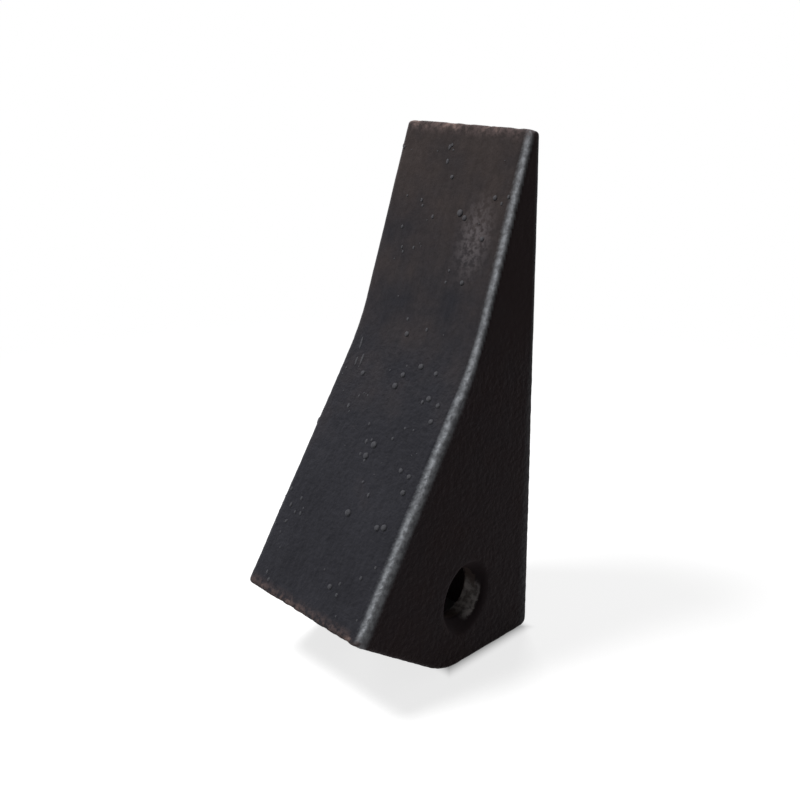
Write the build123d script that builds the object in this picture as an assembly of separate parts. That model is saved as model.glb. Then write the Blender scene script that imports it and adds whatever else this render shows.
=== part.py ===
from build123d import *
import math
import os

# One-piece cast bucket tooth with a side pin. Lengths are in millimetres, angles in degrees.
# The tooth is drawn along its socket axis: Z runs from the ear points to the digging edge,
# X runs across it, -Y is the side of the bent top face and +Y is the side of the flat underside.
# It is then leaned over, so that it stands on the lower facets of its two ears.

# Outer form
tooth_length = 244.2
rear_width = 78.3
tip_width = 74.4
wedge_height = 130.1
wedge_angle = 16.8
blade_angle = 3.1
edge_thickness = 6.72
bend_radius = 126.0

# Pointed ears, which carry the flanks on past the rims of the box
ear_point_drop = 3.0
ear_slope_top = 19.4
ear_slope_bottom = 15.8
ear_point_radius = 30.0
ear_heel_radius = 4.0

# Rounded edges of the casting
face_edge_radius = 4.2
under_edge_radius = 2.0
digging_edge_radius = 2.0

# Socket for the nose of the adapter
wall_thickness = 12.0
flank_thickness = 12.5
nose_height = 26.0
nose_land = 10.0
socket_draft = 1.0
socket_corner_radius = 7.0
nose_corner_radius = 4.0
socket_rim_radius = 1.5

# Pin bore through both ears, with an oval cast mouth outside
pin_bore_diameter = 25.0
pin_station = 36.2
pin_drop = 7.2
mouth_long = 35.0
mouth_short = 27.4
mouth_depth = 6.0
mouth_bevel = 0.8

# How far a cutting solid runs past the surface that it cuts
overrun = 20.0

# A face looks in a direction when at least this share of its unit normal points that way
facing_share = 0.9


def slope(angle):
    """Rise of a line for each unit of its run."""
    return math.tan(math.radians(angle))


def wedge_half_height(station):
    """Distance from the socket axis to the top face or the underside, at a station on the axis."""
    return wedge_height / 2 - station * slope(wedge_angle)


def flank_half_width(station):
    """Distance from the middle plane to a flank, at a station on the axis."""
    return (rear_width + (tip_width - rear_width) * station / tooth_length) / 2


def rear_corner(side, ear_slope):
    """Point (Y, Z) where a face of the wedge meets an ear's rear edge; side is -1 above, 1 below."""
    run = wedge_half_height(0) - side * ear_point_drop
    station = run * slope(ear_slope) / (1 + slope(wedge_angle) * slope(ear_slope))
    return side * wedge_half_height(station), station


def side_section():
    """Section along the tooth: a wedge with a bent top face and a pointed rear."""
    ear_point = (ear_point_drop, 0)
    top_corner = rear_corner(-1, ear_slope_top)
    heel = rear_corner(1, ear_slope_bottom)
    edge_bottom = (wedge_half_height(tooth_length), tooth_length)
    edge_top = (edge_bottom[0] - edge_thickness, tooth_length)
    blade_half_height = tooth_length * slope(blade_angle) - edge_top[0]
    bend_station = (wedge_height / 2 - blade_half_height) / (slope(wedge_angle) - slope(blade_angle))
    bend = (-wedge_half_height(bend_station), bend_station)
    section = make_face(Polyline(ear_point, top_corner, bend, edge_top, edge_bottom, heel, close=True))
    rounds = ((ear_point, ear_point_radius), (heel, ear_heel_radius), (bend, bend_radius))
    for corner, radius in rounds:
        section = fillet(section.vertices().sort_by_distance(corner)[0], radius)
    return Plane.YZ * section


def plan_section(half_width, start, end):
    """Outline across the tooth between two stations, where half_width gives its half width."""
    outline = Polyline(
        (-half_width(start), start),
        (half_width(start), start),
        (half_width(end), end),
        (-half_width(end), end),
        close=True,
    )
    return Plane.XZ * make_face(outline)


def looks_towards(*directions):
    """Test that picks the faces that look in one of the given directions."""
    return lambda face: any(face.normal_at().dot(Vector(way)) > facing_share for way in directions)


def rounded_flank_edges(body, directions, radius):
    """Round the edges that the two flanks share with the faces that look in the given directions."""
    flank_edges = body.faces().filter_by(looks_towards((-1, 0, 0), (1, 0, 0))).edges()
    chosen_edges = body.faces().filter_by(looks_towards(*directions)).edges()
    return fillet(ShapeList([edge for edge in flank_edges if edge in chosen_edges]), radius)


def outer_body():
    """The casting without its socket and bore."""
    body = extrude(side_section(), rear_width / 2, both=True)
    body &= extrude(plan_section(flank_half_width, 0, tooth_length), wedge_height, both=True)
    top_face, underside, rear = (0, -1, 0), (0, 1, 0), (0, 0, -1)
    body = rounded_flank_edges(body, [top_face], face_edge_radius)
    body = rounded_flank_edges(body, [underside, rear], under_edge_radius)
    return fillet(body.faces().sort_by(Axis.Z)[-1].edges(), digging_edge_radius)


def socket_half_width(station):
    """Distance from the middle plane to a side wall of the socket."""
    return rear_width / 2 - flank_thickness - station * slope(socket_draft)


def socket():
    """Space for the adapter: it follows the walls of the wedge, then ends in a flat nose seat."""
    inset = wall_thickness / math.cos(math.radians(wedge_angle))
    mouth = wedge_half_height(-overrun) - inset
    nose = nose_height / 2
    nose_start = (wedge_half_height(0) - inset - nose) / slope(wedge_angle)
    nose_end = nose_start + nose_land
    outline = Polyline(
        (-mouth, -overrun),
        (-nose, nose_start),
        (-nose, nose_end),
        (nose, nose_end),
        (nose, nose_start),
        (mouth, -overrun),
        close=True,
    )
    space = extrude(Plane.YZ * make_face(outline), rear_width / 2, both=True)
    space &= extrude(plan_section(socket_half_width, -overrun, nose_end), wedge_height, both=True)
    sides = space.faces().filter_by(looks_towards((-1, 0, 0), (1, 0, 0)))
    long_edges = sides.edges().filter_by(lambda edge: -overrun < (edge @ 0.5).Z < nose_end)
    space = fillet(long_edges, socket_corner_radius)
    return fillet(space.faces().sort_by(Axis.Z)[-1].edges(), nose_corner_radius)


def hollow_body():
    """The casting with its socket, which has a rounded rim."""
    body = outer_body()
    space = socket()
    hollow = body - space
    return fillet(new_edges(body, space, combined=hollow), socket_rim_radius)


def pin_bore():
    """Round bore across both ears, with an oval mouth that narrows to it from each flank."""
    radius = pin_bore_diameter / 2
    cutter = Pos(0, pin_drop, pin_station) * Rot(0, 90, 0) * Cylinder(radius, rear_width)
    flank = flank_half_width(pin_station)
    across, along = mouth_short / 2, mouth_long / 2
    flare = 2 * mouth_bevel
    stages = (
        (flank - mouth_depth, radius, radius),
        (flank - mouth_bevel, across, along),
        (flank + mouth_bevel, across + flare, along + flare),
    )
    for side in (-1, 1):
        ovals = [
            Plane((side * out, pin_drop, pin_station), (0, 1, 0), (side, 0, 0)) * Ellipse(*radii)
            for out, *radii in stages
        ]
        cutter += loft(ovals, ruled=True)
    return cutter


def bucket_tooth():
    """The whole casting, standing on its ears with the middle of its outline over the origin."""
    tooth = Rot(-ear_slope_bottom, 0, 0) * (hollow_body() - pin_bore())
    box = tooth.bounding_box()
    return Pos(0, -box.center().Y, -box.min.Z) * tooth


os.makedirs("parts", exist_ok=True)
export_step(bucket_tooth(), "parts/bucket_tooth.step")
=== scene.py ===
import logging
import math
from dataclasses import dataclass, field
from enum import Enum

import bmesh
import bpy
import numpy as np
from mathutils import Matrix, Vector
from mathutils.bvhtree import BVHTree


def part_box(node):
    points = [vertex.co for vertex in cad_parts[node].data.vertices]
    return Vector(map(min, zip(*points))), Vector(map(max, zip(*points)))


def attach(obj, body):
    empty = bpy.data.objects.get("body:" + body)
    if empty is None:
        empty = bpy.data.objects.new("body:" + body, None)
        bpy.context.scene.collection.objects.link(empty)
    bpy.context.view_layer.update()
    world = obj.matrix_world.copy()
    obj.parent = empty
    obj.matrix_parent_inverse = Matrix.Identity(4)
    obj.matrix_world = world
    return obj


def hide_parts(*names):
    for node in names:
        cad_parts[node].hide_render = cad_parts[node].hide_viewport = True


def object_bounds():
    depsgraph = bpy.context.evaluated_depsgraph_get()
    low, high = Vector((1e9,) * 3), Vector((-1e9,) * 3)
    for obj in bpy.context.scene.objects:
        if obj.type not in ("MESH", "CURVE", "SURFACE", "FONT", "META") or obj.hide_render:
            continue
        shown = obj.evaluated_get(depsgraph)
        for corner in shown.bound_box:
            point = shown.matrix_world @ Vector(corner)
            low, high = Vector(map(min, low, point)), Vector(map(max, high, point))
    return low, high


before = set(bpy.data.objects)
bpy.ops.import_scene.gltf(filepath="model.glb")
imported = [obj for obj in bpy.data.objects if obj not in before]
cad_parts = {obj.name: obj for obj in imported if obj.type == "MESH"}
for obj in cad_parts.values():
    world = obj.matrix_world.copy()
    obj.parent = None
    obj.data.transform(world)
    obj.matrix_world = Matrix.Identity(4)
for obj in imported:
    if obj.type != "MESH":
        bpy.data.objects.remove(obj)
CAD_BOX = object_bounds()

# A cast bucket tooth, dressed in its black lacquer and stood on a pale floor. Sizes in fields whose
# names end in _mm are millimetres, and everything that reaches Blender is metres.
MM = 0.001

# How far off a surface a ray starts, so that it doesn't meet the place that it leaves.
LIFT = 0.1 * MM

WHITE = (1.0, 1.0, 1.0, 1.0)
BLACK = (0.0, 0.0, 0.0, 1.0)

# What a field of noise, which runs from 0 to 1, is on average.
NOISE_MIDDLE = 0.5

# Mix and Random Value nodes have sockets for every kind of data. These are the numbers of their
# inputs for two numbers and for two colours, and of the outputs that are not the first.
NUMBER_A, NUMBER_B = 2, 3
COLOUR_A, COLOUR_B = 6, 7
MIXED_COLOUR = 2
RANDOM_NUMBER = 1

# How the Geometry Nodes store a number on every point.
ON_POINTS = {"data_type": "FLOAT", "domain": "POINT"}

log = logging.getLogger("bucket_tooth")


def linear(hex_colour: str) -> tuple[float, float, float, float]:
    """Turn an sRGB hex colour into the linear colour that a shader takes.

    Args:
        hex_colour: six hex digits, such as "35332f".

    Returns:
        Red, green, blue and an alpha of one.
    """
    channels = [int(hex_colour[start : start + 2], 16) / 255 for start in (0, 2, 4)]
    red, green, blue = (
        part / 12.92 if part <= 0.04045 else ((part + 0.055) / 1.055) ** 2.4 for part in channels
    )
    return red, green, blue, 1.0


def add_node(
    tree: bpy.types.NodeTree,
    kind: str,
    inputs: dict[str | int, object] | None = None,
    **settings: object,
) -> bpy.types.Node:
    """Add a node with its settings, its input values and its links.

    Args:
        tree: the node tree that gets the node.
        kind: the node's type name.
        inputs: for each input, by name or number, a value or the output socket that feeds it.
        settings: the node's own properties.

    Returns:
        The new node.
    """
    node = tree.nodes.new(kind)
    for name, value in settings.items():
        setattr(node, name, value)
    for key, value in (inputs or {}).items():
        if isinstance(value, bpy.types.NodeSocket):
            tree.links.new(value, node.inputs[key])
        else:
            node.inputs[key].default_value = value
    return node


def plain_mesh(piece: bpy.types.Object, name: str) -> bpy.types.Mesh:
    """Take what an object's modifiers make of it as a mesh of its own.

    Args:
        piece: the object with its modifiers.
        name: the new mesh's name.

    Returns:
        The mesh, which nothing drives any more.
    """
    evaluated = piece.evaluated_get(bpy.context.evaluated_depsgraph_get())
    mesh = bpy.data.meshes.new_from_object(evaluated)
    mesh.name = name
    return mesh


def sheltered(tree: BVHTree, place: Vector, normal: Vector) -> bool:
    """Tell whether a place looks at another wall of the casting, as in the socket and the bore.

    Args:
        tree: the casting's faces.
        place: the place on the surface.
        normal: the way that it looks.

    Returns:
        True where another wall is in the way.
    """
    return tree.ray_cast(place + normal * LIFT, normal)[0] is not None


def ramp(values: np.ndarray, start: float, end: float) -> np.ndarray:
    """Rise softly from 0 to 1 between two values.

    Args:
        values: the numbers to place on the ramp.
        start: where it is 0.
        end: where it is 1, which may be below the start.

    Returns:
        The height of the ramp at each number.
    """
    share = np.clip((values - start) / (end - start), 0.0, 1.0)
    return share * share * (3 - 2 * share)


class Mark(Enum):
    """Names of the values from 0 to 1 that the casting's mesh carries for its finish."""

    # Painted highlight along the near rounded edge, with faint real wear on the other edges.
    EDGE = "edge"
    # Painted shade: every side but the top face, and the bore's mouth.
    SHADE = "shade"
    SOCKET = "socket"
    # A painted patch of light on the bore's far wall, which is also where the pin rubs it bare.
    BORE = "bore"
    # Painted sheen: a lighter patch beside the near edge.
    SHEEN = "sheen"
    RIM = "rim"
    CHIP = "chip"
    NODULE = "nodule"
    GRIT = "grit"


class SpotValue(Enum):
    """Names of what a nodule's spot carries: its radius in metres and its length over its width."""

    SIZE = "nodule_size"
    STRETCH = "nodule_stretch"


class Side(Enum):
    """The tooth's outer sides, each with the direction that its faces look in most of all."""

    TOP = (0.0, -1.0, 0.0)
    UNDERSIDE = (0.0, 1.0, 0.0)
    LEFT = (-1.0, 0.0, 0.0)
    RIGHT = (1.0, 0.0, 0.0)
    REAR = (0.0, 0.0, -1.0)
    TIP = (0.0, 0.0, 1.0)


def nearest_side(normal: Vector) -> Side:
    """Say which side of the tooth a face belongs to, from the way that it looks."""
    return max(Side, key=lambda side: normal.dot(Vector(side.value)))


class Grain(Enum):
    """The patterns that break up the finish."""

    MOTTLE = "mottle"
    SKIN = "skin"
    SAND = "sand"
    STREAK = "streak"


@dataclass(frozen=True)
class Pattern:
    """A field of noise in the casting's own space."""

    size_mm: float
    detail: float
    stretch: float = 1.0
    octave_strength: float = 0.6

    def build(self, tree: bpy.types.NodeTree, place: bpy.types.NodeSocket) -> bpy.types.NodeSocket:
        """Add the noise to a material.

        Args:
            tree: the material's node tree.
            place: Object coordinates.

        Returns:
            The noise, from 0 to 1.
        """
        along = 1 / self.stretch
        laid = add_node(
            tree, "ShaderNodeMapping", {"Vector": place, "Scale": (1.0, along, along)}
        ).outputs["Vector"]
        return add_node(
            tree,
            "ShaderNodeTexNoise",
            {
                "Vector": laid,
                "Scale": 1 / (self.size_mm * MM),
                "Detail": self.detail,
                "Roughness": self.octave_strength,
            },
        ).outputs["Fac"]


@dataclass(frozen=True)
class Layer:
    """What changes the coat where the mesh is marked: a colour and a roughness, broken up."""

    mark: Mark
    colour: str
    roughness: float
    grain: Grain
    break_up: float
    strength: float = 1.0


@dataclass(frozen=True)
class LacqueredCasting:
    """Black lacquer on cast steel: a thin satin coat that shows the grain of the sand mould.

    To the eye it is nearly black, bluer low down and browner near the digging edge. It has a
    painted highlight along the near rounded edge and faint grey wear on the others, is chipped to
    rust at the rims, and has a painted patch of light on the bore's far wall, where the pin also
    rubs.
    """

    name: str = "black_lacquer_on_cast_steel"
    low_coat: str = "323237"
    high_coat: str = "3b3534"
    coat_roughness: float = 0.5
    specular_level: float = 0.03
    brown_from_mm: float = 110.0
    brown_to_mm: float = 235.0
    patterns: dict[Grain, Pattern] = field(
        default_factory=lambda: {
            Grain.MOTTLE: Pattern(26.0, 3.0),
            Grain.SKIN: Pattern(2.4, 2.0),
            # The mould's sand is about 0.3 mm across, and is drawn as coarse as it needs to show.
            Grain.SAND: Pattern(0.8, 2.0),
            Grain.STREAK: Pattern(2.2, 2.0, 8.0),
        }
    )
    shading: dict[Grain, float] = field(
        default_factory=lambda: {
            Grain.MOTTLE: 0.14,
            Grain.SKIN: 0.10,
            Grain.SAND: 0.08,
            Grain.STREAK: 0.07,
        }
    )
    bumps_mm: dict[Grain, float] = field(
        default_factory=lambda: {Grain.SKIN: 0.80, Grain.SAND: 0.20}
    )
    smooth_relief: float = 0.25
    shaded_noise: tuple[float, float] = (0.3, 0.7)
    broken_noise: tuple[float, float] = (0.4, 0.6)
    layers: tuple[Layer, ...] = (
        # Painted shade: a darker, browner coat on every side but the top face and in the bore's
        # mouth.
        Layer(Mark.SHADE, "2f2627", 0.55, Grain.MOTTLE, 0.2),
        Layer(Mark.SOCKET, "564b47", 0.8, Grain.MOTTLE, 0.2),
        # Painted light: a pale patch on the bore's far wall, which is also where the pin rubs.
        Layer(Mark.BORE, "aaa4a2", 0.5, Grain.SKIN, 0.7),
        # Painted sheen: a lighter, glossier patch beside the near edge.
        Layer(Mark.SHEEN, "6a6466", 0.42, Grain.SKIN, 0.85, 0.72),
        # The nodules' lighter, glossier coat is partly rubbed tops and partly a painted highlight.
        Layer(Mark.NODULE, "5a5a5e", 0.4, Grain.SAND, 0.3, 0.8),
        # Painted highlight: a bright grey along the near rounded edge; on the other edges it is
        # faint grey wear.
        Layer(Mark.EDGE, "d2d6dc", 0.4, Grain.SKIN, 0.45),
        Layer(Mark.RIM, "5c504f", 0.8, Grain.SKIN, 0.9),
        Layer(Mark.CHIP, "8a7670", 0.85, Grain.SKIN, 0.7),
    )

    def material(self) -> bpy.types.Material:
        """Build the finish from the mesh's marks and from patterns in Object coordinates.

        Returns:
            The material, ready for the casting's only slot.
        """
        material = bpy.data.materials.new(self.name)
        material.use_nodes = True
        tree = material.node_tree
        tree.nodes.clear()
        place = add_node(tree, "ShaderNodeTexCoord").outputs["Object"]
        grains = {grain: pattern.build(tree, place) for grain, pattern in self.patterns.items()}
        colour = self.coat_colour(tree, place, grains)
        rough: float | bpy.types.NodeSocket = self.coat_roughness
        for layer in self.layers:
            share = self.layer_share(tree, layer, grains[layer.grain])
            colour = add_node(
                tree,
                "ShaderNodeMix",
                {0: share, COLOUR_A: colour, COLOUR_B: linear(layer.colour)},
                data_type="RGBA",
            ).outputs[MIXED_COLOUR]
            rough = add_node(
                tree, "ShaderNodeMix", {0: share, NUMBER_A: rough, NUMBER_B: layer.roughness}
            ).outputs[0]
        coat = {
            "Base Color": colour,
            "Roughness": rough,
            "Specular IOR Level": self.specular_level,
            "Normal": self.bumps(tree, grains),
        }
        shader = add_node(tree, "ShaderNodeBsdfPrincipled", coat)
        add_node(tree, "ShaderNodeOutputMaterial", {"Surface": shader.outputs["BSDF"]})
        return material

    def coat_colour(
        self,
        tree: bpy.types.NodeTree,
        place: bpy.types.NodeSocket,
        grains: dict[Grain, bpy.types.NodeSocket],
    ) -> bpy.types.NodeSocket:
        """Mix the bluer and the browner black by height, and vary them by the patterns.

        Args:
            tree: the material's node tree.
            place: Object coordinates.
            grains: the patterns.

        Returns:
            The colour of the sound coat.
        """
        height = add_node(tree, "ShaderNodeSeparateXYZ", {0: place}).outputs["Z"]
        # The mottle adds this to the height on average, so both limits lie that much higher.
        added_mm = self.brown_from_mm
        uneven = add_node(
            tree,
            "ShaderNodeMath",
            {0: grains[Grain.MOTTLE], 1: added_mm * MM / NOISE_MIDDLE, 2: height},
            operation="MULTIPLY_ADD",
        ).outputs[0]
        tint = add_node(
            tree,
            "ShaderNodeMapRange",
            {
                "Value": uneven,
                "From Min": (self.brown_from_mm + added_mm) * MM,
                "From Max": (self.brown_to_mm + added_mm) * MM,
            },
        ).outputs[0]
        colour = add_node(
            tree,
            "ShaderNodeMix",
            {0: tint, COLOUR_A: linear(self.low_coat), COLOUR_B: linear(self.high_coat)},
            data_type="RGBA",
        ).outputs[MIXED_COLOUR]
        for grain, depth in self.shading.items():
            gain = add_node(
                tree,
                "ShaderNodeMapRange",
                {
                    "Value": grains[grain],
                    "From Min": self.shaded_noise[0],
                    "From Max": self.shaded_noise[1],
                    "To Min": 1 - depth,
                    "To Max": 1 + depth,
                },
            ).outputs[0]
            colour = add_node(
                tree, "ShaderNodeVectorMath", {0: colour, "Scale": gain}, operation="SCALE"
            ).outputs[0]
        return colour

    def layer_share(
        self, tree: bpy.types.NodeTree, layer: Layer, grain: bpy.types.NodeSocket
    ) -> bpy.types.NodeSocket:
        """Say how much of a layer lies on the coat: its mark, broken up by its pattern.

        Args:
            tree: the material's node tree.
            layer: the layer.
            grain: the pattern that breaks it up.

        Returns:
            The layer's share, from 0 to 1.
        """
        mark = add_node(tree, "ShaderNodeAttribute", attribute_name=layer.mark.value).outputs["Fac"]
        kept = add_node(
            tree,
            "ShaderNodeMapRange",
            {
                "Value": grain,
                "From Min": self.broken_noise[0],
                "From Max": self.broken_noise[1],
                "To Min": layer.strength * (1 - layer.break_up),
                "To Max": layer.strength,
            },
        ).outputs[0]
        return add_node(
            tree, "ShaderNodeMath", {0: mark, 1: kept}, operation="MULTIPLY", use_clamp=True
        ).outputs[0]

    def bumps(
        self, tree: bpy.types.NodeTree, grains: dict[Grain, bpy.types.NodeSocket]
    ) -> bpy.types.NodeSocket:
        """Lay the relief that is too fine for the mesh over the surface.

        Args:
            tree: the material's node tree.
            grains: the patterns.

        Returns:
            The bumped normal.
        """
        grit = add_node(tree, "ShaderNodeAttribute", attribute_name=Mark.GRIT.value).outputs["Fac"]
        strength = add_node(
            tree, "ShaderNodeMapRange", {"Value": grit, "To Min": self.smooth_relief, "To Max": 1.0}
        ).outputs[0]
        below: dict[str, object] = {}
        for grain, height_mm in self.bumps_mm.items():
            relief = {"Height": grains[grain], "Distance": height_mm * MM, "Strength": strength}
            bump = add_node(tree, "ShaderNodeBump", {**below, **relief})
            below = {"Normal": bump.outputs["Normal"]}
        return below["Normal"]


@dataclass(frozen=True)
class Nodule:
    """A pimple of sand or slag on the bent top face, or a long one where the mould was scored."""

    across_mm: float
    height_mm: float
    radius_mm: float
    stretch: float = 1.0


@dataclass
class ToothCasting:
    """The whole tooth in one piece, with the skin, nodules and chips of a sand casting.

    Heights are measured from the floor, places across it from its middle plane, and places on a
    flank from the middle of its outline and from the floor.
    """

    node: str = "bucket_tooth"
    name: str = "tooth_casting"
    body: str = "root"
    slot: str = "cast_steel"
    seed: int = 7
    net_size_mm: float = 1.15
    net_settling: int = 3
    net_smoothing: int = 2
    merge_mm: float = 0.001
    sharp_degrees: float = 50.0
    least_flat_mm2: float = 120.0
    direction_steps: int = 100
    wall_mm: float = 12.0
    swell_size_mm: float = 20.0
    swell_height_mm: float = 0.30
    skin_size_mm: float = 3.4
    skin_height_mm: float = 0.45
    smooth_share: float = 0.3
    nodules_per_mm2: float = 0.014
    least_nodule_mm: float = 0.3
    largest_nodule_mm: float = 0.85
    nodule_growth: float = 1.3
    nodule_flatness: float = 0.55
    grit_from_mm: float = 165.0
    grit_to_mm: float = 130.0
    chip_size_mm: float = 5.0
    chip_depth_mm: float = 0.45
    edge_start_mm: float = -3.0
    edge_peak_mm: float = 0.8
    edge_falls: tuple[tuple[float, float], ...] = ((40.0, 7.0), (125.0, 5.4), (155.0, 3.2))
    rim_reach_mm: float = 6.5
    rim_core_mm: float = 1.0
    bore_centre_mm: tuple[float, float] = (10.5, 33.7)
    mouth_reach_mm: float = 18.0
    mouth_start_mm: float = 0.3
    # Where the painted patch of light on the bore's far wall lies, which is also where the pin
    # rubs.
    lit_wear_middle_mm: tuple[float, float] = (20.0, 26.0)
    lit_wear_half_mm: tuple[float, float] = (8.0, 9.0)
    lit_wear_fade: tuple[float, float] = (1.3, 0.5)
    lit_wear_from_mm: float = 3.0
    shade_fade_mm: tuple[float, float] = (0.5, 4.0)
    # Where the painted sheen lies on the top face.
    sheen_across_mm: float = 21.0
    sheen_height_mm: float = 194.0
    sheen_half_width_mm: float = 13.0
    sheen_half_length_mm: float = 24.0
    sheen_depth_mm: float = 1.0
    # How strongly each edge is marked: the edge of the top face and the right flank carries the
    # painted highlight, the others faint wear.
    highlighted_and_worn_edges: dict[tuple[Side, Side], float] = field(
        default_factory=lambda: {
            (Side.TOP, Side.RIGHT): 1.0,
            (Side.TOP, Side.LEFT): 0.15,
            (Side.UNDERSIDE, Side.RIGHT): 0.15,
            (Side.UNDERSIDE, Side.LEFT): 0.2,
        }
    )
    finish: LacqueredCasting = field(default_factory=LacqueredCasting)
    # The nodules that stand out most, and last the three score marks near the bend.
    nodules: tuple[Nodule, ...] = (
        Nodule(9.7, 203.4, 1.3),
        Nodule(12.9, 201.7, 1.0),
        Nodule(27.1, 211.5, 0.9),
        Nodule(0.0, 217.5, 0.8),
        Nodule(25.5, 194.6, 0.9),
        Nodule(20.4, 175.7, 0.9),
        Nodule(-3.6, 149.8, 1.0),
        Nodule(11.2, 139.0, 1.1),
        Nodule(3.0, 134.0, 1.0),
        Nodule(1.1, 129.1, 1.2),
        Nodule(20.9, 138.2, 0.9),
        Nodule(-20.8, 129.8, 1.0),
        Nodule(28.8, 121.0, 1.0),
        Nodule(28.9, 127.3, 0.9),
        Nodule(22.7, 128.6, 1.1),
        Nodule(3.3, 105.6, 1.3),
        Nodule(1.4, 100.7, 1.2),
        Nodule(29.7, 93.7, 1.0),
        Nodule(4.9, 78.7, 1.3),
        Nodule(27.5, 79.5, 1.2),
        Nodule(23.9, 78.4, 1.1),
        Nodule(12.1, 51.7, 1.0),
        Nodule(29.4, 99.8, 0.9),
        Nodule(23.9, 100.6, 0.9),
        Nodule(-29.5, 141.0, 0.5, 5.0),
        Nodule(-25.0, 134.8, 0.5, 5.0),
        Nodule(-28.0, 133.5, 0.45, 4.0),
    )

    def build(self) -> bpy.types.Object:
        """Make the casting, dress it and put it in the solid's place.

        Returns:
            The finished piece.
        """
        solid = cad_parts[self.node]
        mesh = self.even_mesh(solid)
        piece = bpy.data.objects.new(self.name, mesh)
        bpy.context.scene.collection.objects.link(piece)
        tree = BVHTree.FromObject(solid, bpy.context.evaluated_depsgraph_get())
        self.mark_mesh(mesh, solid, tree)
        spots = self.nodule_spots(tree)
        self.roughen(piece, spots, self.finish.material())
        bpy.data.objects.remove(spots)
        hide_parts(self.node)
        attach(piece, self.body)
        return piece

    def even_mesh(self, solid: bpy.types.Object) -> bpy.types.Mesh:
        """Cover a copy of the solid with an even net of small faces that lie on its surface.

        Args:
            solid: the solid's object, which stays as it is.

        Returns:
            A closed mesh of nearly square faces.
        """
        work = bmesh.new()
        work.from_mesh(solid.data)
        bmesh.ops.remove_doubles(work, verts=work.verts, dist=self.merge_mm * MM)
        joined = bpy.data.meshes.new("joined_solid")
        work.to_mesh(joined)
        work.free()
        net = bpy.data.objects.new("net", joined)
        bpy.context.scene.collection.objects.link(net)
        remesh = net.modifiers.new("net", "REMESH")
        remesh.mode = "VOXEL"
        remesh.voxel_size = self.net_size_mm * MM
        for step in range(self.net_settling):
            lay = net.modifiers.new(f"lay_{step}", "SHRINKWRAP")
            lay.target = solid
            if step < self.net_settling - 1:
                even = net.modifiers.new(f"even_{step}", "SMOOTH")
                even.iterations = self.net_smoothing
        mesh = plain_mesh(net, self.name)
        bpy.data.objects.remove(net)
        mesh.shade_smooth()
        return mesh

    def side_planes(
        self, solid: bpy.types.Object, tree: BVHTree
    ) -> dict[Side, list[tuple[Vector, float]]]:
        """Read the large flat faces of the tooth's outside from the solid.

        Args:
            solid: the solid's object.
            tree: its faces, to tell the outside from the socket.

        Returns:
            For each side, its planes as an outward normal and a distance from the origin.
        """
        middle = sum(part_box(self.node), Vector()) / 2
        areas: dict[tuple[int, ...], float] = {}
        found: dict[tuple[int, ...], tuple[Vector, float]] = {}
        for face in solid.data.polygons:
            reach = face.normal.dot(face.center)
            nose_seat = nearest_side(face.normal) is Side.REAR and reach < face.normal.dot(middle)
            if nose_seat or sheltered(tree, face.center, face.normal):
                continue
            # Faces that look one way and lie equally far out, to the millimetre, are one plane.
            turn = (round(part * self.direction_steps) for part in face.normal)
            key = (*turn, round(reach / MM))
            areas[key] = areas.get(key, 0.0) + face.area
            found.setdefault(key, (face.normal.copy(), reach))
        planes: dict[Side, list[tuple[Vector, float]]] = {side: [] for side in Side}
        for key, plane in found.items():
            if areas[key] > self.least_flat_mm2 * MM**2:
                planes[nearest_side(plane[0])].append(plane)
        return planes

    def mark_mesh(self, mesh: bpy.types.Mesh, solid: bpy.types.Object, tree: BVHTree) -> None:
        """Write the marks that the skin and the finish read.

        Args:
            mesh: the even net.
            solid: the solid's object.
            tree: the solid's faces.
        """
        places = np.empty(len(mesh.vertices) * 3)
        mesh.vertices.foreach_get("co", places)
        places = places.reshape(-1, 3)
        depths = {}
        for side, members in self.side_planes(solid, tree).items():
            each = [(reach - places @ np.array(normal)) / MM for normal, reach in members]
            # The bent top face is hollow, so the farther of its planes counts.
            depths[side] = np.max(each, axis=0) if side is Side.TOP else np.min(each, axis=0)
        inner = np.array([float(sheltered(tree, v.co, v.normal)) for v in mesh.vertices])
        flank = np.minimum(depths[Side.LEFT], depths[Side.RIGHT])
        on_flank, height_mm = places[:, 1:] / MM, places[:, 2] / MM
        mouth = np.hypot(*(on_flank - self.bore_centre_mm).T) < self.mouth_reach_mm
        bore = mouth & (flank > self.mouth_start_mm) & (flank < self.wall_mm)
        lit_wear = np.hypot(*((on_flank - self.lit_wear_middle_mm) / self.lit_wear_half_mm).T)
        outside = (1 - inner) * (1 - bore)
        # Painted shade darkens every point more than a few millimetres below the top face, and the
        # bore's mouth.
        shade = ramp(depths[Side.TOP], *self.shade_fade_mm)
        marks = {
            Mark.SOCKET: inner,
            # Painted light on the bore's far wall, where the pin also rubs.
            Mark.BORE: bore * ramp(lit_wear, *self.lit_wear_fade) * (flank > self.lit_wear_from_mm),
            Mark.GRIT: ramp(height_mm, self.grit_from_mm, self.grit_to_mm) * outside,
            Mark.SHADE: np.maximum(shade * outside, bore),
            # The painted highlight along the near edge, and faint wear on the others.
            Mark.EDGE: self.edge_highlight_and_wear_mark(height_mm, depths) * outside,
            Mark.RIM: self.rim_mark(depths) * outside,
            Mark.SHEEN: self.sheen_mark(places, depths) * outside,
        }
        for mark, values in marks.items():
            layer = mesh.attributes.new(mark.value, "FLOAT", "POINT")
            layer.data.foreach_set("value", values.astype(np.float32))

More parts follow.
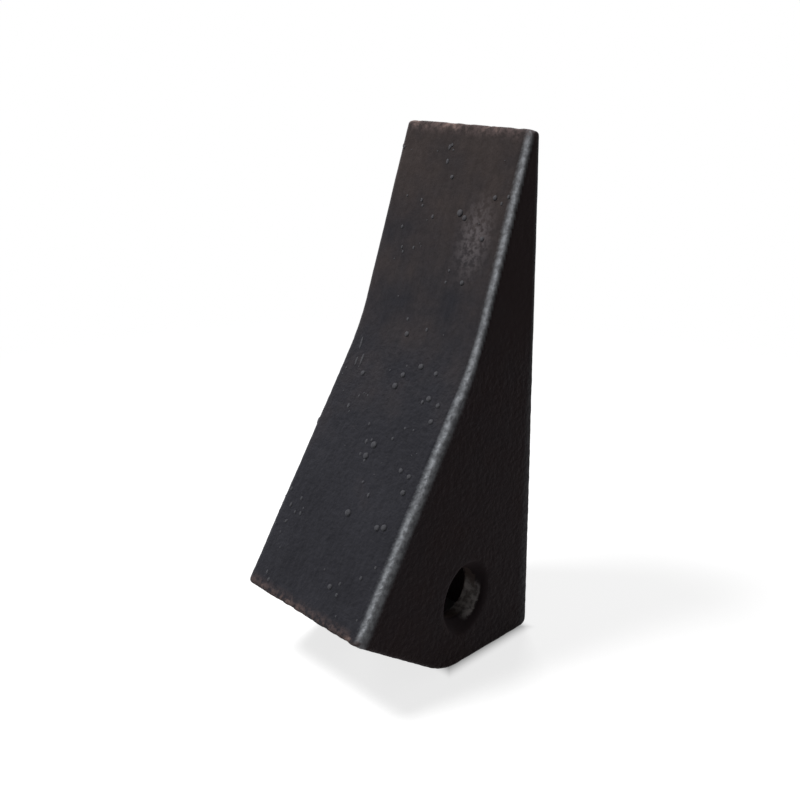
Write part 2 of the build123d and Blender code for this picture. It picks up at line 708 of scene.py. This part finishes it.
    def edge_highlight_and_wear_mark(self, height_mm: np.ndarray, depths: dict[Side, np.ndarray]) -> np.ndarray:
        """Mark the painted highlight along the near rounded edge and the faint wear on the others,
        wider low down than on the blade.

        Args:
            height_mm: how high each point is.
            depths: how deep each point lies under each side, in millimetres.

        Returns:
            The mark of each point.
        """
        fall = np.interp(height_mm, *zip(*self.edge_falls))
        marks = []
        for (one, other), strength in self.highlighted_and_worn_edges.items():
            turn = depths[one] - depths[other]
            near = np.maximum(depths[one], depths[other]) < -self.edge_start_mm + fall
            rise = ramp(turn, self.edge_start_mm, self.edge_peak_mm)
            share = np.clip((fall - turn) / (fall - self.edge_peak_mm), 0.0, 1.0)
            marks.append(strength * near * rise * share)
        return np.max(marks, axis=0)

    def rim_mark(self, depths: dict[Side, np.ndarray]) -> np.ndarray:
        """Mark the top face's two ends, which are knocked and gather rust."""
        ends = np.minimum(depths[Side.REAR], depths[Side.TIP])
        return ramp(np.maximum(ends, depths[Side.TOP]), self.rim_reach_mm, self.rim_core_mm)

    def sheen_mark(self, places: np.ndarray, depths: dict[Side, np.ndarray]) -> np.ndarray:
        """Mark the painted sheen: a lighter patch beside the right edge, near the digging edge."""
        across = (places[:, 0] / MM - self.sheen_across_mm) / self.sheen_half_width_mm
        along = (places[:, 2] / MM - self.sheen_height_mm) / self.sheen_half_length_mm
        return ramp(np.hypot(across, along), 1.0, 0.0) * (depths[Side.TOP] < self.sheen_depth_mm)

    def nodule_spots(self, tree: BVHTree) -> bpy.types.Object:
        """Find where the named nodules sit on the top face.

        Args:
            tree: the solid's faces.

        Returns:
            A helper of loose points that carry the nodules' radii and lengths.
        """
        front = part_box(self.node)[0].y - LIFT
        points = []
        for nodule in self.nodules:
            start = Vector((nodule.across_mm * MM, front, nodule.height_mm * MM))
            points.append(tree.ray_cast(start, Vector((0, 1, 0)))[0])
        mesh = bpy.data.meshes.new("nodule_spots")
        mesh.from_pydata(points, [], [])
        carried = {
            SpotValue.SIZE: [self.nodule_growth * nodule.radius_mm * MM for nodule in self.nodules],
            SpotValue.STRETCH: [nodule.stretch for nodule in self.nodules],
        }
        for name, values in carried.items():
            mesh.attributes.new(name.value, "FLOAT", "POINT").data.foreach_set("value", values)
        spots = bpy.data.objects.new("nodule_spots", mesh)
        bpy.context.scene.collection.objects.link(spots)
        return spots

    def roughen(
        self, piece: bpy.types.Object, spots: bpy.types.Object, material: bpy.types.Material
    ) -> None:
        """Give the smooth mesh its cast skin with Geometry Nodes and keep it as a plain mesh.

        Args:
            piece: the casting on its even net.
            spots: where the named nodules sit.
            material: the finish that the skin carries.
        """
        values = {
            "Swell size": self.swell_size_mm * MM,
            "Swell height": self.swell_height_mm * MM,
            "Skin size": self.skin_size_mm * MM,
            "Skin height": self.skin_height_mm * MM,
            "Smooth share": self.smooth_share,
            "Chip size": self.chip_size_mm * MM,
            "Chip depth": self.chip_depth_mm * MM,
            "Nodule density": self.nodules_per_mm2 / MM**2,
            "Least nodule": self.least_nodule_mm * MM,
            "Largest nodule": self.largest_nodule_mm * MM,
            "Flatness": self.nodule_flatness,
        }
        tree = CastSkin(self.seed, spots, material).tree(list(values))
        modifier = piece.modifiers.new("cast_skin", "NODES")
        modifier.node_group = tree
        for name, value in values.items():
            socket = next(item for item in tree.interface.items_tree if item.name == name)
            modifier[socket.identifier] = value
        mesh = plain_mesh(piece, self.name)
        piece.modifiers.remove(modifier)
        piece.data = mesh
        mesh.set_sharp_from_angle(angle=math.radians(self.sharp_degrees))


@dataclass(frozen=True)
class CastSkin:
    """The Geometry Nodes tree that turns the smooth net into the skin of a sand casting."""

    seed: int
    spots: bpy.types.Object
    material: bpy.types.Material
    relief_detail: float = 2.0
    chip_detail: float = 3.0
    cluster_detail: float = 1.0
    knocked_rim: tuple[float, float] = (0.6, 1.0)
    chipped_noise: tuple[float, float] = (0.50, 0.68)
    cluster_noise: tuple[float, float] = (0.42, 0.66)
    scatter_stretch: tuple[float, float] = (0.8, 1.6)
    score_direction: tuple[float, float, float] = (-0.1, 0.5, 0.8)
    dome_subdivisions: int = 2
    kept_clear: tuple[Mark, ...] = (Mark.SHADE, Mark.SOCKET, Mark.BORE, Mark.RIM, Mark.EDGE)

    def tree(self, names: list[str]) -> bpy.types.NodeTree:
        """Build the tree.

        Args:
            names: the names of its number inputs.

        Returns:
            The tree, whose inputs keep no values of their own.
        """
        tree = bpy.data.node_groups.new("cast_skin", "GeometryNodeTree")
        tree.interface.new_socket("Casting", in_out="INPUT", socket_type="NodeSocketGeometry")
        for name in names:
            tree.interface.new_socket(name, in_out="INPUT", socket_type="NodeSocketFloat")
        tree.interface.new_socket("Casting", in_out="OUTPUT", socket_type="NodeSocketGeometry")
        given = add_node(tree, "NodeGroupInput").outputs
        marks = {
            mark: add_node(
                tree, "GeometryNodeInputNamedAttribute", {"Name": mark.value}, data_type="FLOAT"
            ).outputs["Attribute"]
            for mark in (Mark.GRIT, *self.kept_clear, *SpotValue)
        }
        normal = add_node(tree, "GeometryNodeInputNormal").outputs[0]
        swell = self.relief(tree, given["Swell size"], given["Swell height"])
        fine = self.relief(tree, given["Skin size"], given["Skin height"])
        grit = add_node(
            tree,
            "ShaderNodeMapRange",
            {"Value": marks[Mark.GRIT], "To Min": given["Smooth share"], "To Max": 1.0},
        ).outputs[0]
        skin = add_node(tree, "ShaderNodeMath", {0: fine, 1: grit}, operation="MULTIPLY").outputs[0]
        chip = self.chip_share(tree, marks[Mark.RIM], given["Chip size"])
        rise = add_node(tree, "ShaderNodeMath", {0: swell, 1: skin}, operation="ADD").outputs[0]
        drop = add_node(
            tree, "ShaderNodeMath", {0: chip, 1: given["Chip depth"]}, operation="MULTIPLY"
        ).outputs[0]
        height = add_node(
            tree, "ShaderNodeMath", {0: rise, 1: drop}, operation="SUBTRACT"
        ).outputs[0]
        offset = add_node(
            tree, "ShaderNodeVectorMath", {0: normal, "Scale": height}, operation="SCALE"
        ).outputs[0]
        chipped = add_node(
            tree,
            "GeometryNodeStoreNamedAttribute",
            {"Geometry": given["Casting"], "Name": Mark.CHIP.value, "Value": chip},
            **ON_POINTS,
        ).outputs["Geometry"]
        moved = add_node(
            tree, "GeometryNodeSetPosition", {"Geometry": chipped, "Offset": offset}
        ).outputs["Geometry"]
        join = add_node(tree, "GeometryNodeJoinGeometry")
        for part in (self.nodules(tree, given, marks, moved), moved):
            tree.links.new(part, join.inputs[0])
        real = add_node(
            tree, "GeometryNodeRealizeInstances", {"Geometry": join.outputs[0]}
        ).outputs[0]
        dressed = add_node(
            tree, "GeometryNodeSetMaterial", {"Geometry": real, "Material": self.material}
        ).outputs["Geometry"]
        add_node(tree, "NodeGroupOutput", {"Casting": dressed})
        return tree

    def field_of(
        self, tree: bpy.types.NodeTree, size: bpy.types.NodeSocket, detail: float
    ) -> bpy.types.NodeSocket:
        """Make noise of a given size over the surface.

        Args:
            tree: the Geometry Nodes tree.
            size: how wide one swell of the noise is.
            detail: how many finer octaves it has.

        Returns:
            The noise, from 0 to 1.
        """
        place = add_node(tree, "GeometryNodeInputPosition").outputs[0]
        scale = add_node(tree, "ShaderNodeMath", {0: 1.0, 1: size}, operation="DIVIDE").outputs[0]
        return add_node(
            tree, "ShaderNodeTexNoise", {"Vector": place, "Scale": scale, "Detail": detail}
        ).outputs["Fac"]

    def relief(
        self, tree: bpy.types.NodeTree, size: bpy.types.NodeSocket, height: bpy.types.NodeSocket
    ) -> bpy.types.NodeSocket:
        """Make a height field that rises and falls about zero.

        Args:
            tree: the Geometry Nodes tree.
            size: how wide one swell is.
            height: how far the field reaches from its lowest to its highest point.

        Returns:
            The height at each point.
        """
        pattern = self.field_of(tree, size, self.relief_detail)
        centred = add_node(
            tree, "ShaderNodeMath", {0: pattern, 1: NOISE_MIDDLE}, operation="SUBTRACT"
        ).outputs[0]
        return add_node(
            tree, "ShaderNodeMath", {0: centred, 1: height}, operation="MULTIPLY"
        ).outputs[0]

    def chip_share(
        self, tree: bpy.types.NodeTree, rim: bpy.types.NodeSocket, size: bpy.types.NodeSocket
    ) -> bpy.types.NodeSocket:
        """Find the knocked places along the marked rims.

        Args:
            tree: the Geometry Nodes tree.
            rim: the mark of the rims.
            size: how long one chip is.

        Returns:
            A share from 0 on sound skin to 1 in a chip.
        """
        noise = self.field_of(tree, size, self.chip_detail)
        near, broken = (
            add_node(
                tree,
                "ShaderNodeMapRange",
                {"Value": value, "From Min": start, "From Max": end},
                interpolation_type="SMOOTHSTEP",
            ).outputs[0]
            for value, (start, end) in ((rim, self.knocked_rim), (noise, self.chipped_noise))
        )
        return add_node(
            tree, "ShaderNodeMath", {0: near, 1: broken}, operation="MULTIPLY"
        ).outputs[0]

    def nodules(
        self,
        tree: bpy.types.NodeTree,
        given: bpy.types.bpy_prop_collection,
        marks: dict[Mark | SpotValue, bpy.types.NodeSocket],
        casting: bpy.types.NodeSocket,
    ) -> bpy.types.NodeSocket:
        """Set small domes on the skin: the named ones and a random scatter of finer ones.

        Args:
            tree: the Geometry Nodes tree.
            given: the tree's inputs.
            marks: the numbers that the points carry.
            casting: the skin that carries the domes.

        Returns:
            The domes, sunk to half their depth.
        """
        share: float | bpy.types.NodeSocket = 1.0
        for mark in self.kept_clear:
            share = add_node(
                tree,
                "ShaderNodeMath",
                {0: share, 1: marks[mark]},
                operation="SUBTRACT",
                use_clamp=True,
            ).outputs[0]
        noise = self.field_of(tree, given["Swell size"], self.cluster_detail)
        start, end = self.cluster_noise
        cluster = add_node(
            tree,
            "ShaderNodeMapRange",
            {"Value": noise, "From Min": start, "From Max": end},
            interpolation_type="SMOOTHSTEP",
        ).outputs[0]
        share = add_node(
            tree, "ShaderNodeMath", {0: cluster, 1: share}, operation="MULTIPLY"
        ).outputs[0]
        density = add_node(
            tree, "ShaderNodeMath", {0: share, 1: given["Nodule density"]}, operation="MULTIPLY"
        ).outputs[0]
        scattered = add_node(
            tree,
            "GeometryNodeDistributePointsOnFaces",
            {"Mesh": casting, "Density": density, "Seed": self.seed},
        ).outputs["Points"]
        drawn = {
            SpotValue.SIZE: (given["Least nodule"], given["Largest nodule"]),
            SpotValue.STRETCH: self.scatter_stretch,
        }
        for name, (least, most) in drawn.items():
            value = add_node(
                tree,
                "FunctionNodeRandomValue",
                {NUMBER_A: least, NUMBER_B: most, "Seed": self.seed},
                data_type="FLOAT",
            ).outputs[RANDOM_NUMBER]
            scattered = add_node(
                tree,
                "GeometryNodeStoreNamedAttribute",
                {"Geometry": scattered, "Name": name.value, "Value": value},
                **ON_POINTS,
            ).outputs["Geometry"]
        named = add_node(tree, "GeometryNodeObjectInfo", {"Object": self.spots}).outputs["Geometry"]
        named = add_node(tree, "GeometryNodeMeshToPoints", {"Mesh": named}).outputs[0]
        spots = add_node(tree, "GeometryNodeJoinGeometry")
        for part in (scattered, named):
            tree.links.new(part, spots.inputs[0])
        place = add_node(tree, "GeometryNodeInputPosition").outputs[0]
        up = add_node(
            tree,
            "GeometryNodeSampleNearestSurface",
            {
                "Mesh": casting,
                "Value": add_node(tree, "GeometryNodeInputNormal").outputs[0],
                "Sample Position": place,
            },
            data_type="FLOAT_VECTOR",
        ).outputs["Value"]
        upright = add_node(
            tree, "FunctionNodeAlignRotationToVector", {"Vector": up}, axis="Z"
        ).outputs["Rotation"]
        turn = add_node(
            tree,
            "FunctionNodeAlignRotationToVector",
            {"Rotation": upright, "Vector": self.score_direction},
            axis="Y",
            pivot_axis="Z",
        ).outputs["Rotation"]
        ball = add_node(
            tree,
            "GeometryNodeMeshIcoSphere",
            {"Radius": 1.0, "Subdivisions": self.dome_subdivisions},
        ).outputs[0]
        flat = add_node(
            tree, "ShaderNodeCombineXYZ", {"X": 1.0, "Y": 1.0, "Z": given["Flatness"]}
        ).outputs[0]
        dome = add_node(tree, "GeometryNodeTransform", {"Geometry": ball, "Scale": flat}).outputs[0]
        smooth = add_node(tree, "GeometryNodeSetShadeSmooth", {"Geometry": dome}).outputs[0]
        stretch = {"X": 1.0, "Y": marks[SpotValue.STRETCH], "Z": 1.0}
        shape = add_node(tree, "ShaderNodeCombineXYZ", stretch).outputs[0]
        scale = add_node(
            tree,
            "ShaderNodeVectorMath",
            {0: shape, "Scale": marks[SpotValue.SIZE]},
            operation="SCALE",
        ).outputs[0]
        domes = add_node(
            tree,
            "GeometryNodeInstanceOnPoints",
            {"Points": spots.outputs[0], "Instance": smooth, "Rotation": turn, "Scale": scale},
        ).outputs["Instances"]
        real = add_node(tree, "GeometryNodeRealizeInstances", {"Geometry": domes}).outputs[0]
        return add_node(
            tree,
            "GeometryNodeStoreNamedAttribute",
            {"Geometry": real, "Name": Mark.NODULE.value, "Value": 1.0},
            **ON_POINTS,
        ).outputs["Geometry"]


def seen_share(tree: bpy.types.NodeTree) -> bpy.types.NodeSocket:
    """Tell what looks at a surface from the light that bounces off it.

    Args:
        tree: the node tree.

    Returns:
        One for camera, glossy and transmission rays, and zero for all others.
    """
    path = add_node(tree, "ShaderNodeLightPath").outputs
    share = path["Is Camera Ray"]
    for name in ("Is Glossy Ray", "Is Transmission Ray"):
        share = add_node(
            tree, "ShaderNodeMath", {0: share, 1: path[name]}, operation="MAXIMUM"
        ).outputs[0]
    return share


@dataclass(frozen=True)
class StudioFloor:
    """Matt pale paper: white to the eye, with the tooth's soft shadow on it."""

    name: str = "matt_paper_floor"
    half_side_m: float = 8.0
    paper: str = "acacac"
    glow: float = 0.78
    dark_middle_mm: tuple[float, float] = (0.0, 26.0)
    dark_half_mm: tuple[float, float] = (39.0, 26.0)
    dark_fade_mm: float = 6.0
    white_from_m: float = 0.2
    white_to_m: float = 0.6

    def build(self) -> None:
        """Lay the floor under the tooth, as something that isn't part of it."""
        side = self.half_side_m
        mesh = bpy.data.meshes.new(self.name)
        corners = [(-side, -side, 0), (side, -side, 0), (side, side, 0), (-side, side, 0)]
        mesh.from_pydata(corners, [], [(0, 1, 2, 3)])
        mesh.materials.append(self.material())
        floor = bpy.data.objects.new(self.name, mesh)
        bpy.context.scene.collection.objects.link(floor)

    def material(self) -> bpy.types.Material:
        """Build the paper, which glows only for what looks at it and fades to plain white far off.

        Returns:
            The material.
        """
        material = bpy.data.materials.new(self.name)
        material.use_nodes = True
        tree = material.node_tree
        tree.nodes.clear()
        place = add_node(tree, "ShaderNodeTexCoord").outputs["Object"]
        away = add_node(
            tree, "ShaderNodeVectorMath", {0: place}, operation="LENGTH"
        ).outputs["Value"]
        far = add_node(
            tree,
            "ShaderNodeMapRange",
            {"Value": away, "From Min": self.white_from_m, "From Max": self.white_to_m},
            interpolation_type="SMOOTHSTEP",
        ).outputs[0]
        seen = seen_share(tree)
        clear = self.clear_of_tooth(tree, place)
        near_glow = add_node(
            tree, "ShaderNodeMath", {0: clear, 1: self.glow}, operation="MULTIPLY"
        ).outputs[0]
        strength = add_node(
            tree, "ShaderNodeMix", {0: far, NUMBER_A: near_glow, NUMBER_B: 1.0}
        ).outputs[0]
        shown = add_node(
            tree, "ShaderNodeMath", {0: seen, 1: strength}, operation="MULTIPLY"
        ).outputs[0]
        glow = add_node(tree, "ShaderNodeEmission", {"Color": WHITE, "Strength": shown}).outputs[0]
        faded = add_node(tree, "ShaderNodeMath", {0: far, 1: seen}, operation="MULTIPLY").outputs[0]
        colour = add_node(
            tree,
            "ShaderNodeMix",
            {0: faded, COLOUR_A: linear(self.paper), COLOUR_B: BLACK},
            data_type="RGBA",
        ).outputs[MIXED_COLOUR]
        paper = add_node(tree, "ShaderNodeBsdfDiffuse", {"Color": colour}).outputs[0]
        both = add_node(tree, "ShaderNodeAddShader", {0: paper, 1: glow}).outputs[0]
        add_node(tree, "ShaderNodeOutputMaterial", {"Surface": both})
        return material

    def clear_of_tooth(
        self, tree: bpy.types.NodeTree, place: bpy.types.NodeSocket
    ) -> bpy.types.NodeSocket:
        """Keep the glow away from under the tooth, where the socket's floor is dark. Where it fades
        in, a few millimetres either side of the footprint's edge, the paper beside the foot is
        darker: a narrow band of painted shade.

        Args:
            tree: the material's node tree.
            place: Object coordinates.

        Returns:
            0 under the tooth and 1 clear of it.
        """
        middle, half = (
            (across * MM, along * MM, 0.0)
            for across, along in (self.dark_middle_mm, self.dark_half_mm)
        )
        from_middle = add_node(
            tree, "ShaderNodeVectorMath", {0: place, 1: middle}, operation="SUBTRACT"
        ).outputs[0]
        apart = add_node(
            tree, "ShaderNodeVectorMath", {0: from_middle}, operation="ABSOLUTE"
        ).outputs[0]
        past = add_node(
            tree, "ShaderNodeVectorMath", {0: apart, 1: half}, operation="SUBTRACT"
        ).outputs[0]
        split = add_node(tree, "ShaderNodeSeparateXYZ", {0: past}).outputs
        most = add_node(
            tree, "ShaderNodeMath", {0: split["X"], 1: split["Y"]}, operation="MAXIMUM"
        ).outputs[0]
        fade = self.dark_fade_mm * MM
        return add_node(
            tree,
            "ShaderNodeMapRange",
            {"Value": most, "From Min": -fade, "From Max": fade},
            interpolation_type="SMOOTHSTEP",
        ).outputs[0]


@dataclass(frozen=True)
class Lamp:
    """A soft square lamp that points at the middle of the tooth."""

    name: str
    place: tuple[float, float, float]
    side_m: float
    power_w: float

    def build(self, target: Vector) -> None:
        """Hang the lamp and aim it.

        Args:
            target: the point that it lights.
        """
        light = bpy.data.lights.new(self.name, "AREA")
        light.size = self.side_m
        light.energy = self.power_w
        lamp = bpy.data.objects.new(self.name, light)
        bpy.context.scene.collection.objects.link(lamp)
        lamp.location = self.place
        lamp.rotation_mode = "QUATERNION"
        lamp.rotation_quaternion = (target - Vector(self.place)).to_track_quat("-Z", "Y")


@dataclass(frozen=True)
class Studio:
    """The pale surroundings: floor, white background, lamps and the camera."""

    floor: StudioFloor = StudioFloor()
    fill: float = 0.10
    lamps: tuple[Lamp, ...] = (
        Lamp("key_lamp", (-0.36, -0.48, 1.16), 0.32, 13.5),
        Lamp("back_lamp", (-0.75, 0.85, 0.75), 0.5, 6.0),
    )
    lens_mm: float = 45.0
    sensor_mm: float = 36.0
    nearest_seen_m: float = 0.01
    eye: tuple[float, float, float] = (0.3068, -0.2882, 0.2754)
    aim: tuple[float, float, float] = (0.0354, -0.0280, 0.1389)

    def build(self) -> None:
        """Set up everything round the tooth."""
        self.floor.build()
        self.background()
        for lamp in self.lamps:
            lamp.build(sum(CAD_BOX, Vector()) / 2)
        self.camera()
        bpy.context.scene.view_settings.view_transform = "Standard"

    def background(self) -> None:
        """Make the world white to look at and a weak fill light on the tooth."""
        world = bpy.data.worlds.new("white_surround")
        world.use_nodes = True
        tree = world.node_tree
        tree.nodes.clear()
        strength = add_node(
            tree, "ShaderNodeMix", {0: seen_share(tree), NUMBER_A: self.fill, NUMBER_B: 1.0}
        ).outputs[0]
        sky = add_node(
            tree, "ShaderNodeBackground", {"Color": WHITE, "Strength": strength}
        ).outputs[0]
        add_node(tree, "ShaderNodeOutputWorld", {"Surface": sky})
        bpy.context.scene.world = world

    def camera(self) -> None:
        """Place the camera where it sees the bent face and one flank from a little above."""
        data = bpy.data.cameras.new("camera")
        data.lens = self.lens_mm
        data.sensor_width = self.sensor_mm
        data.clip_start = self.nearest_seen_m
        camera = bpy.data.objects.new("camera", data)
        bpy.context.scene.collection.objects.link(camera)
        camera.location = self.eye
        camera.rotation_mode = "QUATERNION"
        camera.rotation_quaternion = (Vector(self.aim) - Vector(self.eye)).to_track_quat("-Z", "Y")
        bpy.context.scene.camera = camera


def main() -> None:
    """Build the studio and the casting, and report them."""
    logging.basicConfig(level=logging.INFO, format="%(name)s: %(message)s")
    studio = Studio()
    studio.build()
    log.info("studio: %d lamps", len(studio.lamps))
    casting = ToothCasting().build()
    log.info("%s: %d faces", casting.name, len(casting.data.polygons))


if __name__ == "__main__":
    main()
